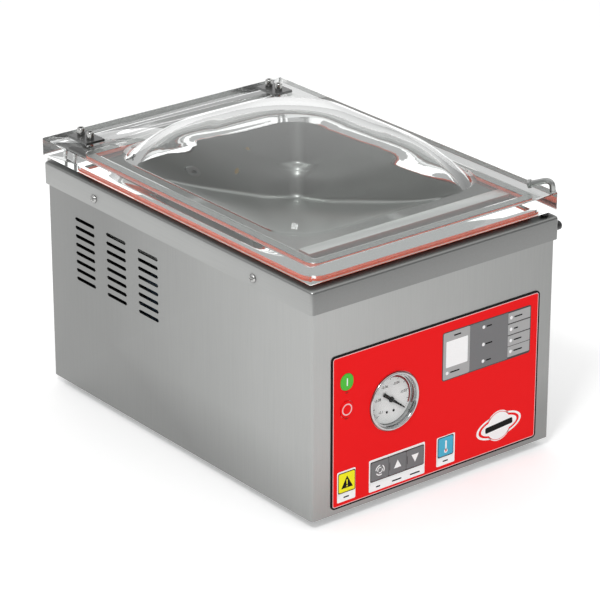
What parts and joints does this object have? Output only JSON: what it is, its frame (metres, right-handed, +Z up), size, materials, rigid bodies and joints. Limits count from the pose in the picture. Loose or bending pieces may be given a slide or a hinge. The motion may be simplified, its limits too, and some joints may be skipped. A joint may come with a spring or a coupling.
{
  "type": "chamber vacuum packing machine",
  "caption": "Table-top chamber vacuum packer: brushed steel housing, clear domed lid on rear hinges, rising sealing bar, red key panel and a round vacuum gauge on the front.",
  "frame": {"origin": "on the table, under the middle of the whole machine with its rear hinges", "axes": "+X to the right of somebody standing before the control panel, +Y towards the rear hinges, +Z up"},
  "size_m": [0.3474, 0.496, 0.3362],
  "materials": {
    "housing_steel": "brushed stainless sheet, grain along the panel",
    "deck_steel": "brushed stainless sheet",
    "chamber_steel": "satin stainless, drawn tub",
    "dark_steel": "satin black-grey enamel",
    "bracket_steel": "satin stainless",
    "floor_steel": "zinc-plated sheet",
    "fastener": "bright plated fasteners and pins",
    "handle_steel": "satin steel bar",
    "aluminium": "milled bar, fine lengthwise grain",
    "cylinder_steel": "anodised cylinder",
    "pump_casting": "painted casting, semi-gloss blue-grey",
    "motor_casting": "painted ribbed casting",
    "transformer_steel": "varnished laminations and winding",
    "brass": "turned brass",
    "black_rubber": "matte rubber",
    "black_plastic": "fine-grained moulding",
    "red_silicone": "satin red silicone",
    "seal_tape": "coated woven glass tape",
    "overlay_red": "printed film, fine satin grain",
    "key_green": "domed film key",
    "key_red": "domed film key",
    "key_yellow": "domed film key",
    "key_grey": "domed film key",
    "key_blue": "domed film key",
    "board": "circuit board with its parts",
    "gauge_steel": "polished bezel",
    "dial_white": "white printed dial",
    "needle_black": "enamelled pointer",
    "gauge_glass": "flat clear window",
    "acrylic": "clear polished acrylic"
  },
  "bodies": {
    "housing": {"housing_shell": "housing_steel", "rear_panel": "housing_steel", "base_plate": "floor_steel", "top_deck": "deck_steel", "chamber_tub": "chamber_steel", "suction_port": "brass", "foot_front_left": "black_rubber", "foot_front_right": "black_rubber", "foot_rear_left": "black_rubber", "foot_rear_right": "black_rubber", "control_overlay": "overlay_red", "control_board": "board", "gauge_case": "gauge_steel", "gauge_dial": "dial_white", "gauge_lens": "gauge_glass", "deck_screw_front_left": "fastener", "deck_screw_rear_left": "fastener", "deck_screw_front_right": "fastener", "deck_screw_rear_right": "fastener", "switch_knob": "black_plastic", "lid_switch": "black_plastic", "hinge_bracket_left": "bracket_steel", "hinge_bracket_right": "bracket_steel", "hinge_pin_left": "fastener", "hinge_pin_right": "fastener", "lid_spring_left": "fastener", "lid_spring_right": "fastener", "vacuum_pump": "pump_casting", "pump_motor": "motor_casting", "vacuum_hose": "black_rubber", "vent_valve": "brass", "transformer": "transformer_steel", "seal_cylinder_left": "cylinder_steel", "seal_cylinder_right": "cylinder_steel", "mains_inlet": "black_plastic"},
    "lid": {"lid_plate": "acrylic", "lid_gasket": "red_silicone", "counter_bar": "aluminium", "counter_strip": "red_silicone", "lid_handle": "handle_steel", "hinge_leaf_left": "dark_steel", "hinge_leaf_right": "dark_steel", "clamp_plate_left": "dark_steel", "clamp_plate_right": "dark_steel", "hinge_bolt_left_front": "fastener", "hinge_bolt_left_rear": "fastener", "hinge_bolt_right_front": "fastener", "hinge_bolt_right_rear": "fastener"},
    "sealing_bar": {"seal_bar": "aluminium", "seal_tape": "seal_tape"},
    "needle": {"gauge_needle": "needle_black"},
    "plunger": {"switch_plunger": "black_plastic"},
    "fan": {"motor_fan": "black_plastic"},
    "key_on_body": {"key_on": "key_green"},
    "key_off_body": {"key_off": "key_red"},
    "key_stop_body": {"key_stop": "key_yellow"},
    "key_set_body": {"key_set": "key_grey"},
    "key_up_body": {"key_up": "key_grey"},
    "key_down_body": {"key_down": "key_grey"},
    "key_temperature_body": {"key_temperature": "key_blue"}
  },
  "joints": [
    {"name": "lid_hinge", "type": "hinge", "parent": "housing", "child": "lid", "pos_m": [0, 0.24, 0.264], "axis": [-1, 0, 0], "range_deg": [0, 60], "stiffness_Nm_per_rad": 3, "springref_deg": 91.67},
    {"name": "sealing_bar_slide", "type": "slide", "parent": "housing", "child": "sealing_bar", "axis": [0, 0, 1], "range_m": [0, 0.01]},
    {"name": "needle_turn", "type": "hinge", "parent": "housing", "child": "needle", "pos_m": [-0.0563, -0.2465, 0.1178], "axis": [0, -1, 0], "range_deg": [0, 260]},
    {"name": "plunger_slide", "type": "slide", "parent": "housing", "child": "plunger", "axis": [0, 0, 1], "range_m": [0, 0.003]},
    {"name": "fan_spin", "type": "hinge", "parent": "housing", "child": "fan", "pos_m": [0.12, 0.065, 0.076], "axis": [1, 0, 0], "continuous": true},
    {"name": "key_on_press", "type": "slide", "parent": "housing", "child": "key_on_body", "axis": [0, 1, 0], "range_m": [0, 0.0005], "stiffness_N_per_m": 500},
    {"name": "key_off_press", "type": "slide", "parent": "housing", "child": "key_off_body", "axis": [0, 1, 0], "range_m": [0, 0.0005], "stiffness_N_per_m": 500},
    {"name": "key_stop_press", "type": "slide", "parent": "housing", "child": "key_stop_body", "axis": [0, 1, 0], "range_m": [0, 0.0005], "stiffness_N_per_m": 500},
    {"name": "key_set_press", "type": "slide", "parent": "housing", "child": "key_set_body", "axis": [0, 1, 0], "range_m": [0, 0.0005], "stiffness_N_per_m": 500},
    {"name": "key_up_press", "type": "slide", "parent": "housing", "child": "key_up_body", "axis": [0, 1, 0], "range_m": [0, 0.0005], "stiffness_N_per_m": 500},
    {"name": "key_down_press", "type": "slide", "parent": "housing", "child": "key_down_body", "axis": [0, 1, 0], "range_m": [0, 0.0005], "stiffness_N_per_m": 500},
    {"name": "key_temperature_press", "type": "slide", "parent": "housing", "child": "key_temperature_body", "axis": [0, 1, 0], "range_m": [0, 0.0005], "stiffness_N_per_m": 500}
  ],
  "couplings": [
    {"joint": "plunger_slide", "follows": "lid_hinge", "m_per_rad": 0.002864}
  ]
}
